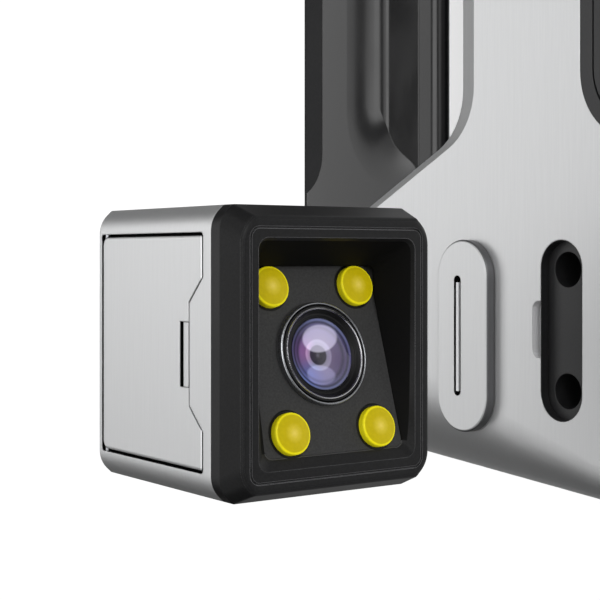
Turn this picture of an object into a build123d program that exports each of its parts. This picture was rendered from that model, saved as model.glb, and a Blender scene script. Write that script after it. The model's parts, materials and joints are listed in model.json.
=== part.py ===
"""Handheld structured-light scanner with a colour-camera module pulled off its side dock.

Millimetres. X runs across the scanner, -Y is the way the cameras look, +Z is up.
The origin is on the flat base, on the scanner's middle plane.
"""
from build123d import *
import math
import os

# ---- scanner body -------------------------------------------------------------------------
height = 237.0
half_width = 38.0
front_y = -55.0
body_rear_y = 34.0
wall = 2.5
front_plate = 2.5
edge_round_front = 5.2  # radius of the long lower and upper edges at the front
edge_round_rear = 30.6  # and at the rear, where the body narrows towards the grip
plan_round = 21.0
foot_round = 9.0

waist_front_y = -46.3
waist_rear_y = -22.3
flare_z = 60.4  # where the waist's straight edges would meet the flares
flare_angle = 26.0
flare_round = 11.2
bevel_width = 4.0  # straight back from the waist and flare edges given above
bevel_depth = 1.2
cover_front_y = -52.0
spine_half_width = 14.0

bush_y = -15.0
bush_radius = 5.0
bush_height = 9.0
bush_bore = 2.6
bush_bore_depth = 7.5

trim_width = 2.5
trim_depth = 2.2
trim_gap = 0.3

# ---- grip -----------------------------------------------------------------------------------
grip_half_width = 18.0
grip_front_y = 9.5
grip_seam_y = 15.3
grip_rear_y = 57.0
grip_end = 3.0  # how far the grip's ends stay inside the overall height
grip_heel_round = 14.0
grip_front_round = 2.5
grip_rear_round = 4.0
grip_wall = 3.4
scoop_depth = 2.3
scoop_rear_y = 35.2  # where the flat side, the two slopes and the seam side would meet
scoop_low_y = 28.8
scoop_front_y = 15.6
scoop_edge_round = 24.0
scoop_floor_round = 6.0
scoop_turn_y = 22.0  # the middle of the round that each end follows
scoop_turn_z = 69.7
scoop_skim = 0.005  # keeps the cutter's flat off the grip's own side
pad_front_y = 47.7
pad_end_z = 52.1
pad_corner = 9.0
pad_thickness = 1.4
strip_half_width = 15.3
strip_thickness = 1.2
strip_proud = 0.25
strip_end_z = 60.0

key_radius = 5.0
key_gap = 0.3
key_proud = 1.4
key_pitch = 14.0
key_mid_z = 157.0
key_island_half_width = 8.5
key_thickness = 2.6
key_flange = 1.0
key_flange_thickness = 1.2
key_back_gap = 1.6
key_frame_proud = 0.4
key_frame_corner = 6.0
key_pocket_depth = 2.8
key_board_drop = 2.0
key_board_end = 2.5

# ---- face and optics ------------------------------------------------------------------------
window_half_width = 29.0
window_margin_z = 14.0
window_round = 8.0
window_thickness = 1.5
projector_radius = 15.0
lamp_ring_radius = 20.5
camera_radius = 10.0
camera_offset_z = 78.0
barrel_wall = 2.0
barrel_proud = 1.0
barrel_clearance = 0.2
frame_y = -42.0
frame_thickness = 3.0
frame_half_width = 24.0
frame_end_z = 22.0
engine_half_width = 19.0
engine_half_height = 22.0
engine_depth = 9.0
main_board_y = -28.4
board_thickness = 1.6
main_board_half_width = 22.0
main_board_half_height = 54.0
standoff_radius = 2.5
camera_board_half = 12.0
inner_bore_share = 0.6  # of the bore in front of it, behind each lens
window_gap = 0.15
frame_slot = (26.0, 14.0)

# ---- side dock and port ---------------------------------------------------------------------
dock_y = -42.3
dock_z = 27.0
dock_width = 8.9
dock_height = 28.6
dock_depth = 1.6
dock_hole_radius = 2.8
dock_hole_pitch = 19.2
dock_hole_depth = 7.0
dock_socket_margin = 2.0
dock_socket_depth = 10.0
notch_depth = 1.8
notch_height = 9.1
notch_corner = 1.4

port_y = -21.1
port_z = 25.3
port_width = 12.5
port_height = 32.4
port_thickness = 1.8
port_slot_width = 1.7
port_slot_height = 20.3
port_slot_depth = 1.2
port_slot_shift = 1.0
port_tongue_width = 6.0
port_tongue_height = 24.0
port_tongue_depth = 4.0
port_clearance = 0.12

# ---- camera module ----------------------------------------------------------------------------
dock_travel = 45.2
dock_seat_gap = 0.1
module_width = 29.2
module_height = 35.0
module_base_z = 9.8
module_front_y = -63.84
module_rear_y = -30.25
bezel_rear_y = -58.1
bezel_taper_y = -60.0
bezel_taper_x = 0.6
bezel_taper_z = 1.5
bezel_edge_round = 0.5
bezel_round_steps = 4
corner_x = 1.8
corner_z = 1.7
corner_round = 3.4
module_wall = 1.6
skirt_length = 4.0
skirt_gap = 0.08
rear_plate = 1.6
rear_gap = 0.05
rear_ledge = 1.5
door_floor = 1.5  # what is left of the left wall behind the door's pocket
bezel_skirt_wall = 1.2

mouth_half_width = 11.7
mouth_low_z = 4.0  # above the module's base
mouth_high_z = 31.1
mouth_round = 1.4
lip_width = 0.6
lip_groove = 0.25
plate_tilt = 14.5
plate_depth = 3.8  # behind the front face, on the lens axis
plate_half_width = 10.3  # at the plate's lower edge
plate_top_half_width = 9.4
plate_low = 12.0  # along the plate, below the lens axis
plate_high = 10.6
plate_thickness = 1.4
plate_margin = 1.1
lens_z = 17.0  # above the module's base
lamp_pitch_x = 12.95
lamp_high = 8.6
lamp_low = 9.15
lamp_radius = 2.62
lamp_proud = 1.25
lamp_flange = 0.5
lens_ring_radius = 6.37
lens_ring_width = 0.45
lens_proud = 0.9
lens_ring_gap = 0.57  # the black gap between the two bright rings
retainer_width = 0.6
retainer_seat = 0.4
glass_seat = 2.2
barrel_length = 10.0
rear_glass_radius = 3.6
iris_radius = 2.0

door_front_y = -56.15
door_rear_y = -30.95
door_low_z = 3.4
door_high_z = 31.55
door_corner = 1.3
pocket_corner = 0.3  # tighter than the door's own, so that the door can swing out
door_thickness = 1.2
door_gap = 0.2
door_notch_depth = 3.1
door_notch_low = (8.1, 11.0)
door_notch_high = (26.5, 23.4)
hinge_pin_radius = 0.35
hinge_clearance = 0.05
catch_z = 17.1
catch_width = 1.1
catch_height = 7.9
catch_travel = 0.8
catch_thickness = 0.8
catch_gap = 0.06
pocket_floor_gap = 0.3
service_width = 9.0
service_height = 5.0
service_wall = 0.9

plug_clearance = 0.15
plug_flange = 1.2
peg_clearance = 0.08
peg_length = 5.0
peg_chamfer = 0.4

spine_y = (35.0, 42.5)
spine_half_x = 5.0
power_z = 26.0
power_radius = 4.6
power_bore = 2.9
power_bore_depth = 7.0
data_z = 42.0
data_width = 12.0
data_height = 7.4
inlet_wall = 1.2
inlet_depth = 9.0
cover_screw_radius = 2.2
cover_screw_seat = 1.4
cover_screw_sunk = 0.3
back_screw_radius = 1.1
back_screw_inset = 1.4
back_boss_length = 7.0
back_boss_wall = 0.6
back_screw_head = 0.7
back_screw_length = 5.0

# ---- worked out from the sizes above ---------------------------------------------------------
middle_z = height / 2
flare_slope = math.tan(math.radians(flare_angle))
panel_x = -half_width
module_right_x = panel_x - dock_travel - dock_seat_gap
module_x = module_right_x - module_width / 2
module_left_x = module_x - module_width / 2
module_top_z = module_base_z + module_height
plug_length = dock_depth - dock_seat_gap
peg_radius = dock_hole_radius - peg_clearance
pin_x = module_left_x + door_thickness / 2
pin_y = door_rear_y - door_thickness / 2
inner_x = (-module_width / 2 + door_thickness + pocket_floor_gap + door_floor, module_width / 2 - module_wall)
inner_z = (module_wall, module_height - module_wall)
retainer_radius = lens_ring_radius - lens_ring_width - lens_ring_gap
glass_radius = retainer_radius - retainer_width
key_base_y = grip_rear_y - key_thickness - key_back_gap
lens_plane = Plane(
    (module_x, module_front_y + plate_depth, module_base_z + lens_z),
    x_dir=(1, 0, 0),
    z_dir=(0, -math.cos(math.radians(plate_tilt)), math.sin(math.radians(plate_tilt))),
)


low = (Align.CENTER, Align.CENTER, Align.MIN)  # stands a cylinder on its place


# ---- helpers ----------------------------------------------------------------------------------
def block(x, y, z):
    """A box from its (low, high) pairs."""
    size = [high - low for low, high in (x, y, z)]
    centre = [(high + low) / 2 for low, high in (x, y, z)]
    return Pos(*centre) * Box(*size)


def outline(*corners):
    """A closed flat outline from (across, up, radius) corners."""
    points = [(across, up) for across, up, radius in corners]
    return make_face(FilletPolyline(*points, radius=[corner[2] for corner in corners], close=True))


def side_prism(shape, low_x, high_x):
    """A (Y, Z) outline carried along X."""
    return extrude(Plane.YZ.offset(low_x) * shape, high_x - low_x)


def rod_y(radius, x, z, low_y, high_y):
    """A round bar along Y."""
    place = Plane((x, low_y, z), x_dir=(1, 0, 0), z_dir=(0, 1, 0))
    return extrude(place * Circle(radius), high_y - low_y)


def rod_x(radius, y, z, low_x, high_x):
    """A round bar along X."""
    return extrude(Plane.YZ.offset(low_x) * Pos(y, z) * Circle(radius), high_x - low_x)


def capsule_x(width, tall, y, z, low_x, high_x):
    """A tall round-ended bar along X."""
    shape = Pos(y, z) * Rot(0, 0, 90) * SlotOverall(tall, width)
    return side_prism(shape, low_x, high_x)


def mirrored(shape):
    """The same piece on the other side of the scanner."""
    return mirror(shape, about=Plane.YZ)


def flare(y, waist_y):
    """Height of a flare's edge at y, for the waist edge it starts from."""
    return flare_z - abs(y - waist_y) * flare_slope


def save(name, shape):
    """Write one node."""
    solids = shape.solids()
    shape = solids[0] if len(solids) == 1 else Compound(children=list(solids))
    export_step(shape, f"parts/{name}.step")


# ---- scanner body -----------------------------------------------------------------------------
def body_side(inset=0.0):
    """The body's outline from the side, waist and flares included."""
    corner_y = waist_rear_y + bevel_width
    lower = [
        (front_y, 0, foot_round),
        (body_rear_y, 0, foot_round),
        (body_rear_y, flare(body_rear_y, corner_y), foot_round / 2),
        (corner_y, flare_z, flare_round),
    ]
    upper = [(y, height - z, radius) for y, z, radius in reversed(lower)]
    shape = outline(*lower, *upper)
    return offset(shape, -inset) if inset else shape


def cut_out_side(inset):
    """The cut-out at the front of a cover, moved in by inset."""
    far_y = front_y - 10
    far_z = flare(far_y, waist_front_y)
    shape = outline(
        (waist_front_y, flare_z, flare_round),
        (waist_front_y, height - flare_z, flare_round),
        (far_y, height - far_z, 0),
        (far_y, far_z, 0),
    )
    return offset(shape, -inset) if inset else shape


def cover_side():
    """The covers' outline: all behind the front plate, less the cut-out at the front."""
    shape = outline(
        (cover_front_y, -1, 0),
        (body_rear_y + 1, -1, 0),
        (body_rear_y + 1, height + 1, 0),
        (cover_front_y, height + 1, 0),
    )
    return shape - cut_out_side(0)


def rounded_shell(inset):
    """The body's rounding from the front to the narrower rear, moved in by inset."""
    size = (2 * (half_width - inset), height - 2 * inset)
    sections = []
    for y, radius in ((front_y - 1, edge_round_front), (body_rear_y + 1, edge_round_rear)):
        place = Plane((0, y, middle_z), x_dir=(1, 0, 0), z_dir=(0, 1, 0))
        sections.append(place * RectangleRounded(*size, radius - inset))
    shell = loft(sections, ruled=True)
    rear_x = spine_half_width - inset
    plan = outline(
        (-half_width + inset, front_y - 1, 0),
        (half_width - inset, front_y - 1, 0),
        (half_width - inset, body_rear_y - inset, plan_round),
        (rear_x, body_rear_y - inset, 0),
        (-rear_x, body_rear_y - inset, 0),
        (-half_width + inset, body_rear_y - inset, plan_round),
    )
    return shell & extrude(plan, height)


def rear_limit(shift):
    """A large outline whose rear side is the waist and flares, moved back by shift."""
    corner_y = waist_rear_y + shift
    far_y = body_rear_y + 10
    lower = [
        (front_y - 10, -10, 0),
        (far_y, -10, 0),
        (far_y, flare(far_y, corner_y), 0),
        (corner_y, flare_z, flare_round),
    ]
    upper = [(y, height - z, radius) for y, z, radius in reversed(lower)]
    return outline(*lower, *upper)


def body_envelope():
    """The body's full outer form, with the bevel along the rear edges."""
    form = side_prism(body_side(), -half_width, half_width) & rounded_shell(0)
    inner_half = half_width - bevel_depth
    middle = block((-inner_half, inner_half), (front_y - 1, body_rear_y + 1), (-1, height + 1))
    limit = middle
    for side in (-1, 1):
        sections = [
            Plane.YZ.offset(side * inner_half) * rear_limit(bevel_width),
            Plane.YZ.offset(side * half_width) * rear_limit(0),
        ]
        limit += loft(sections, ruled=True)
    return form & limit


def body_cavity():
    """The hollow inside the covers and the core."""
    return side_prism(body_side(wall), -half_width, half_width) & rounded_shell(wall)


envelope = body_envelope()
cavity = body_cavity()
envelope_skin = envelope - cavity
cover_form = side_prism(cover_side(), -half_width, half_width)


def cover(side):
    """One silver side cover."""
    edges = sorted((side * spine_half_width, side * (half_width + 1)))
    return envelope_skin & cover_form & block(edges, (front_y, body_rear_y + 1), (-1, height + 1))


def left_cover():
    """The dock-side cover, with the dock's opening, its notch and the port's opening."""
    shape = cover(-1)
    shape -= capsule_x(dock_width, dock_height, dock_y, dock_z, panel_x - 1, panel_x + wall + 1)
    notch_y = dock_y + dock_width / 2
    notch = block(
        (panel_x - 1, panel_x + dock_depth),
        (notch_y - 1, notch_y + notch_depth),
        (dock_z - notch_height / 2, dock_z + notch_height / 2),
    )
    corners = notch.edges().filter_by(Axis.X).group_by(Axis.Y)[-1]
    shape -= fillet(corners, notch_corner)
    opening = (port_tongue_width + 2 * port_clearance, port_tongue_height + 2 * port_clearance)
    return shape - capsule_x(*opening, port_y, port_z, panel_x - 1, panel_x + wall + 1)


def flank_trim():
    """The black band along the edge of the left cover's cut-out."""
    band = cut_out_side(0) - cut_out_side(trim_width)
    shape = side_prism(band, panel_x, panel_x + trim_depth) & envelope
    return shape & block((-half_width, 0), (cover_front_y, 0), (0, height))


def front_bezel():
    """The black front: face plate, flanks and the openings for window and optics."""
    shape = envelope - cover_form - cavity
    for trim in (trims, mirrored(trims)):
        shape -= trim
    groove = side_prism(cut_out_side(trim_width) - cut_out_side(trim_width + trim_gap), panel_x, -panel_x)
    shape -= groove - block((-half_width + 1, half_width - 1), (front_y, 0), (0, height))
    window = (window_half_width, middle_z - window_margin_z, window_thickness)
    shape -= window_block(*window)
    for z, radius in optics():
        shape -= rod_y(radius + barrel_clearance, 0, z, front_y - 1, front_y + front_plate + 1)
    for x, z in frame_corners():
        shape += rod_y(standoff_radius + 1, x, z, front_y + front_plate - 0.5, frame_y)
    return shape


def window_block(half_x, half_z, depth):
    """A round-cornered slab let into the front face."""
    place = Plane((0, front_y, middle_z), x_dir=(1, 0, 0), z_dir=(0, 1, 0))
    return extrude(place * RectangleRounded(2 * half_x, 2 * half_z, window_round), depth)


def optics():
    """(height, outer radius) of the projector and the two cameras."""
    cameras = [(middle_z + side * camera_offset_z, camera_radius) for side in (-1, 1)]
    return [(middle_z, projector_radius)] + cameras


def frame_corners():
    """Where the optics frame is screwed to the bezel."""
    x = frame_half_width - 2 * standoff_radius
    z = middle_z - frame_end_z - 2 * standoff_radius
    return [(side_x * x, middle_z + side_z * z) for side_x in (-1, 1) for side_z in (-1, 1)]


def core_housing():
    """The black band between the covers, with the bush seat for a tripod."""
    shape = envelope_skin & cover_form & block(
        (-spine_half_width, spine_half_width), (front_y, body_rear_y + 1), (-1, height + 1)
    )
    shape += Pos(0, bush_y, wall - 0.5) * Cylinder(bush_radius + 2, bush_height - wall + 1, align=low)
    return shape - Pos(0, bush_y, 0) * Cylinder(bush_radius, bush_height, align=low)


def tripod_bush():
    """The brass thread for a tripod, cut at its core diameter."""
    bush = Pos(0, bush_y, 0) * Cylinder(bush_radius, bush_height, align=low)
    return bush - Pos(0, bush_y, 0) * Cylinder(bush_bore, bush_bore_depth, align=low)


# ---- face and optics ----------------------------------------------------------------------------
def window():
    """The dark window, bored for the lamp ring and the two cameras."""
    half_z = middle_z - window_margin_z - window_gap
    shape = window_block(window_half_width - window_gap, half_z, window_thickness)
    shape -= rod_y(lamp_ring_radius + barrel_clearance, 0, middle_z, front_y - 1, frame_y)
    for z, radius in optics()[1:]:
        shape -= rod_y(radius + barrel_clearance, 0, z, front_y - 1, frame_y)
    return shape


def lamp_ring():
    """The diffuser round the projector."""
    outer = rod_y(lamp_ring_radius, 0, middle_z, front_y, front_y + window_thickness)
    return outer - rod_y(projector_radius + barrel_clearance, 0, middle_z, front_y - 1, frame_y)


def optic_barrel(z, radius):
    """A lens barrel seated on the optics frame."""
    shape = rod_y(radius, 0, z, front_y - barrel_proud, frame_y)
    shape = chamfer(shape.edges().group_by(Axis.Y)[0], barrel_wall / 3)
    bore = radius - barrel_wall
    shape -= rod_y(bore, 0, z, front_y - 2 * barrel_proud, front_y + 3 * barrel_proud)
    return shape - rod_y(bore * inner_bore_share, 0, z, front_y, frame_y + 1)


def optic_glass(z, radius):
    """A domed lens seated in its barrel."""
    bore = radius - barrel_wall
    base_y = front_y + 3 * barrel_proud
    dome_rise = bore * 0.22
    dome_radius = (bore**2 + dome_rise**2) / (2 * dome_rise)
    rim_y = base_y - barrel_proud
    dome = Pos(0, rim_y - dome_rise + dome_radius, z) * Sphere(dome_radius)
    disc = rod_y(bore, 0, z, rim_y - dome_rise - 1, base_y)
    cap = dome & rod_y(bore, 0, z, rim_y - dome_rise - 1, rim_y)
    return cap + (disc & rod_y(bore, 0, z, rim_y, base_y))


def optics_frame():
    """The aluminium plate that carries the barrels, the engine and the boards."""
    shape = block(
        (-frame_half_width, frame_half_width),
        (frame_y, frame_y + frame_thickness),
        (frame_end_z, height - frame_end_z),
    )
    shape = fillet(shape.edges().filter_by(Axis.Y), 4)
    for z, radius in optics():
        bore = (radius - barrel_wall) * inner_bore_share
        shape -= rod_y(bore, 0, z, frame_y - 1, frame_y + frame_thickness + 1)
    for side in (-1, 1):
        slot = Plane((0, frame_y, middle_z + side * camera_offset_z / 2), (1, 0, 0), (0, 1, 0))
        shape -= extrude(slot * RectangleRounded(*frame_slot, 4), frame_thickness)
    return shape


def projector_engine():
    """The light engine behind the projector's barrel."""
    face_y = frame_y + frame_thickness
    shape = block(
        (-engine_half_width, engine_half_width),
        (face_y, face_y + engine_depth),
        (middle_z - engine_half_height, middle_z + engine_half_height),
    )
    shape = fillet(shape.edges().filter_by(Axis.Y), 3)
    fin = engine_half_height / 6
    for step in range(-4, 5, 2):
        z = middle_z + step * fin
        shape -= block((-half_width, half_width), (face_y + engine_depth / 2, 0), (z, z + fin))
    return shape


def camera_board(side):
    """The sensor board behind one camera."""
    face_y = frame_y + frame_thickness
    z = middle_z + side * camera_offset_z
    half = camera_board_half
    shape = block((-half, half), (face_y, face_y + board_thickness), (z - half, z + half))
    return shape + rod_y(half / 2, 0, z, face_y, face_y + 3 * board_thickness)


def standoff_places():
    """Where the main board is held off the frame."""
    x = main_board_half_width - 2 * standoff_radius
    z = main_board_half_height - 2 * standoff_radius
    return [(side_x * x, middle_z + side_z * z) for side_x in (-1, 1) for side_z in (-1, 1)]


def standoffs():
    """The four posts between the frame and the main board."""
    face_y = frame_y + frame_thickness
    posts = [rod_y(standoff_radius, x, z, face_y, main_board_y) for x, z in standoff_places()]
    return Compound(children=posts)


def main_board():
    """The main circuit board with its larger parts."""
    shape = block(
        (-main_board_half_width, main_board_half_width),
        (main_board_y, main_board_y + board_thickness),
        (middle_z - main_board_half_height, middle_z + main_board_half_height),
    )
    for x, z, half in ((-8, 30, 7), (9, 34, 5), (6, -28, 8), (-12, -36, 4), (-10, -14, 3)):
        top_y = main_board_y - board_thickness
        z += middle_z
        if abs(z - middle_z) > engine_half_height + half:
            shape += block((x - half, x + half), (top_y, main_board_y), (z - half, z + half))
    return shape


def frame_screws():
    """The screws that hold the optics frame to the bezel's posts."""
    top_y = frame_y + frame_thickness
    heads = [rod_y(standoff_radius, x, z, top_y, top_y + 1.6) for x, z in frame_corners()]
    return Compound(children=heads)


# ---- grip -----------------------------------------------------------------------------------------
def grip_form(inset):
    """The grip's outer form, moved in by inset."""
    half = grip_half_width - inset
    front, rear = grip_front_y + inset, grip_rear_y - inset
    front_round = max(grip_front_round - inset, 0.5)
    rear_round = max(grip_rear_round - inset, 0.6)
    plan = outline(
        (-half, front, front_round),
        (half, front, front_round),
        (half, rear, rear_round),
        (-half, rear, rear_round),
    )
    low_z, high_z = grip_end + inset, height - grip_end - inset
    side = outline(
        (front - 1, low_z, 0),
        (rear, low_z, grip_heel_round - inset),
        (rear, high_z, grip_heel_round - inset),
        (front - 1, high_z, 0),
    )
    return extrude(Plane.XY.offset(low_z) * plan, high_z - low_z) & side_prism(side, -half, half)


def scoop():
    """The long shallow hollow for the fingertips, on the left side."""
    side_x = -grip_half_width - scoop_skim
    clear_x = side_x - 1
    floor_x = side_x + scoop_depth
    section = outline(
        (clear_x, pad_front_y, 0),
        (side_x, pad_front_y, 0),
        (side_x, scoop_rear_y, scoop_edge_round),
        (floor_x, scoop_low_y, scoop_floor_round),
        (side_x, scoop_front_y, 0),
        (clear_x, scoop_front_y, 0),
    )
    slope_run = (scoop_rear_y - scoop_low_y) / scoop_depth
    end_face = outline(
        (0, clear_x, 0),
        (0, floor_x + 1, 0),
        (scoop_low_y - slope_run - scoop_turn_y, floor_x + 1, 0),
        (scoop_rear_y - scoop_turn_y, side_x, scoop_edge_round),
        (pad_front_y - scoop_turn_y, side_x, 0),
        (pad_front_y - scoop_turn_y, clear_x, 0),
    )
    place = Plane((0, scoop_turn_y, scoop_turn_z), x_dir=(0, 1, 0), z_dir=(0, 0, -1))
    spun = revolve(place * end_face, Axis((0, scoop_turn_y, scoop_turn_z), (1, 0, 0)))
    low_end = extrude(section, scoop_turn_z) & spun
    middle = Pos(0, 0, scoop_turn_z) * extrude(section, height - 2 * scoop_turn_z)
    return middle + low_end + mirror(low_end, about=Plane.XY.offset(middle_z))


def pad_zone(front, end_z, corner):
    """The part of the grip that the palm pad covers."""
    side = outline(
        (front, end_z, corner),
        (grip_rear_y + 1, end_z, 0),
        (grip_rear_y + 1, height - end_z, 0),
        (front, height - end_z, corner),
    )
    return side_prism(side, -grip_half_width, grip_half_width)


def strip_block():
    """The silver strip's seat on the grip's front."""
    return block(
        (-strip_half_width, strip_half_width),
        (grip_front_y - strip_proud, grip_front_y + strip_thickness),
        (0, height),
    )


def key_island():
    """The flat frame round the keys, without their holes."""
    half_z = key_pitch + key_radius + 4
    place = Plane((0, grip_rear_y - key_thickness, key_mid_z), x_dir=(1, 0, 0), z_dir=(0, 1, 0))
    face = RectangleRounded(2 * key_island_half_width, 2 * half_z, key_frame_corner)
    return extrude(place * face, key_thickness + key_frame_proud)


def key_places():
    """(name, height) of the three keys."""
    return [
        ("minus_key", key_mid_z - key_pitch),
        ("scan_key", key_mid_z),
        ("plus_key", key_mid_z + key_pitch),
    ]


def key_pocket_half_z():
    """Half the height of the pocket behind the keys."""
    return key_pitch + key_radius + 3


def key_frame():
    """The frame round the keys."""
    shape = key_island()
    for name, z in key_places():
        shape -= rod_y(key_radius + key_gap, 0, z, 0, grip_rear_y + 10)
    return shape


def key(z):
    """One push key with the flange that keeps it in its frame."""
    top_y = grip_rear_y + key_frame_proud + key_proud
    stem = rod_y(key_radius, 0, z, key_base_y + key_flange_thickness / 2, top_y)
    stem = fillet(stem.edges().group_by(Axis.Y)[-1], 0.7)
    return stem + rod_y(key_radius + key_flange, 0, z, key_base_y, key_base_y + key_flange_thickness)


def grip_skin():
    """The hollow grip, clear of the body and with the scoops on both sides."""
    return grip_form(0) - grip_form(grip_wall) - envelope - scoop() - mirrored(scoop())


def grip_front_shell():
    """The grip's front half shell, with the strip's seat."""
    return skin & block((-half_width, half_width), (0, grip_seam_y), (0, height)) - grip_strip()


def grip_rear_shell():
    """The grip's rear half shell, with the seats of the pad, the keys and the inlets."""
    shape = skin & block((-half_width, half_width), (grip_seam_y, grip_rear_y + 10), (0, height))
    shape -= pad_form() + key_island()
    half_x, half_z = key_island_half_width - 1.2, key_pocket_half_z()
    pocket_y = (grip_rear_y - key_thickness - key_pocket_depth, grip_rear_y)
    shape -= block((-half_x, half_x), pocket_y, (key_mid_z - half_z, key_mid_z + half_z))
    for cutter in inlet_seats():
        shape -= cutter
    return shape


def pad_form():
    """The palm pad's form, the keys' frame included."""
    return pad_zone(pad_front_y, pad_end_z, pad_corner) & (grip_form(0) - grip_form(pad_thickness))


def palm_pad():
    """The grained pad that wraps the grip's rear."""
    return pad_form() - key_island()


def grip_strip():
    """The silver strip let into the grip's front."""
    return strip_block() & block(
        (-half_width, half_width), (0, grip_rear_y), (strip_end_z, height - strip_end_z)
    )


def key_board():
    """The key board, held off the rear wall by its two end blocks."""
    wall_y = grip_rear_y - grip_wall
    face_y = wall_y - key_board_drop
    half_z = key_pocket_half_z() + 3
    x = (-key_island_half_width, key_island_half_width)
    board = block(x, (face_y - board_thickness, face_y), (key_mid_z - half_z, key_mid_z + half_z))
    for side in (-1, 1):
        ends = sorted((key_mid_z + side * (half_z - key_board_end), key_mid_z + side * half_z))
        board += block(x, (face_y, wall_y), ends)
    return board


def grip_spine():
    """The aluminium bar inside the grip."""
    ends = (grip_end + grip_wall, height - grip_end - grip_wall)
    return block((-spine_half_x, spine_half_x), spine_y, ends)


def inlet_seats():
    """What the two cable inlets take out of the grip's rear wall."""
    power = rod_y(power_radius, 0, power_z, grip_rear_y - inlet_depth, grip_rear_y + 1)
    data = block(
        (-data_width / 2, data_width / 2),
        (grip_rear_y - inlet_depth, grip_rear_y + 1),
        (data_z - data_height / 2, data_z + data_height / 2),
    )
    return power, data


def power_inlet():
    """The round power inlet."""
    base_y = grip_rear_y - inlet_depth
    shape = rod_y(power_radius, 0, power_z, base_y, grip_rear_y)
    return shape - rod_y(power_bore, 0, power_z, grip_rear_y - power_bore_depth, grip_rear_y + 1)


def data_inlet():
    """The rectangular data inlet with its tongue."""
    base_y = grip_rear_y - inlet_depth
    half_x, half_z = data_width / 2, data_height / 2
    shape = block((-half_x, half_x), (base_y, grip_rear_y), (data_z - half_z, data_z + half_z))
    half_x, half_z = half_x - inlet_wall, half_z - inlet_wall
    shape -= block(
        (-half_x, half_x),
        (base_y + inlet_wall, grip_rear_y + 1),
        (data_z - half_z, data_z + half_z),
    )
    tongue = (data_z - half_z, data_z - half_z + 0.6)
    return shape + block((-half_x + 1, half_x - 1), (base_y + 1, grip_rear_y - 2), tongue)


def cover_screw_places():
    """(y, z) of the screws in the right side cover."""
    waist_y = (waist_front_y + waist_rear_y) / 2
    lower = [(front_y + 17, 24), (0, 30)]
    return lower + [(waist_y, middle_z)] + [(y, height - z) for y, z in lower]


def cover_screws():
    """The screws that close the right side cover."""
    screws = []
    for y, z in cover_screw_places():
        head = rod_x(cover_screw_radius, y, z, half_width - cover_screw_seat, half_width - cover_screw_sunk)
        foot = Plane.YZ.offset(half_width - cover_screw_seat / 2 - cover_screw_sunk)
        socket = foot * Pos(y, z) * RegularPolygon(cover_screw_radius / 2, 6)
        screws.append(head - extrude(socket, 2))
    return Compound(children=screws)


def right_cover():
    """The plain cover, with the seats of its screws."""
    shape = cover(1)
    for y, z in cover_screw_places():
        shape -= rod_x(cover_screw_radius, y, z, half_width - cover_screw_seat, half_width + 1)
    return shape


# ---- side dock and port -------------------------------------------------------------------------
def dock_hole_places():
    """Heights of the dock's two round holes."""
    return dock_z - dock_hole_pitch / 2, dock_z + dock_hole_pitch / 2


def dock_socket():
    """The black socket behind the dock's opening, with two round holes."""
    face_x, inner_x = panel_x + dock_depth, panel_x + dock_depth + dock_socket_depth
    shape = capsule_x(dock_width, dock_height, dock_y, dock_z, face_x, inner_x)
    margin = 2 * dock_socket_margin
    shape += capsule_x(dock_width + margin, dock_height + margin, dock_y, dock_z, panel_x + wall, inner_x)
    for z in dock_hole_places():
        shape -= rod_x(dock_hole_radius, dock_y, z, face_x - 1, face_x + dock_hole_depth)
    return shape


def port_cover():
    """The slotted cover that plugs the second port."""
    outer_x = panel_x - port_thickness
    plate = capsule_x(port_width, port_height, port_y, port_z, outer_x, panel_x + wall)
    rim = plate.edges().group_by(Axis.X)[0]
    plate = chamfer(rim, 0.35) - Pos(-port_clearance, 0, 0) * envelope
    slot_y = port_y + port_slot_shift
    slot_x = outer_x + port_slot_depth
    plate -= capsule_x(port_slot_width, port_slot_height, slot_y, port_z, outer_x - 1, slot_x)
    tongue = (port_tongue_width, port_tongue_height)
    inner_x = panel_x + port_tongue_depth
    return plate + capsule_x(*tongue, port_y, port_z, panel_x - port_clearance, inner_x)


def port_socket():
    """The blind socket behind the second port."""
    width, tall = port_tongue_width + 2 * port_clearance, port_tongue_height + 2 * port_clearance
    inner_x = panel_x + port_tongue_depth + port_clearance
    shape = capsule_x(width + 3, tall + 3, port_y, port_z, panel_x + wall, inner_x + 1)
    return shape - capsule_x(width, tall, port_y, port_z, panel_x, inner_x) - envelope_skin


# ---- camera module --------------------------------------------------------------------------------
def module_section(inset_x, inset_z):
    """The module's outline from the front: a square with cut and rounded corners."""
    half = module_width / 2 - inset_x
    low_z, high_z = inset_z, module_height - inset_z
    corners = [
        (-half + corner_x, low_z, 0.6),
        (half - corner_x, low_z, 0.6),
        (half, low_z + corner_z, corner_round),
        (half, high_z - corner_z, corner_round),
        (half - corner_x, high_z, 0.6),
        (-half + corner_x, high_z, 0.6),
        (-half, high_z - corner_z, corner_round),
        (-half, low_z + corner_z, corner_round),
    ]
    return outline(*corners)


def module_plane(y):
    """The module's upright cross plane at y, with its origin at the foot of the middle."""
    return Plane((module_x, y, module_base_z), x_dir=(1, 0, 0), z_dir=(0, -1, 0))


def module_block(x, y, z):
    """A box placed from the module's middle and its base."""
    return Pos(module_x, 0, module_base_z) * block(x, y, z)


def shrink(pair, amount):
    """A (low, high) pair moved in at both ends."""
    return pair[0] + amount, pair[1] - amount


def on_lens(shape, low_z, high_z):
    """A flat shape on the lamp plate's plane, carried between two depths."""
    return extrude(lens_plane.offset(low_z) * shape, high_z - low_z)


def plate_outline(margin):
    """The lamp plate's outline, a little narrower at the top, larger than the hood's floor by margin."""
    low_x, high_x = plate_half_width + margin, plate_top_half_width + margin
    low_y, high_y = -plate_low - margin, plate_high + margin
    return outline((-low_x, low_y, 1.0), (low_x, low_y, 1.0), (high_x, high_y, 1.0), (-high_x, high_y, 1.0))


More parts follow.
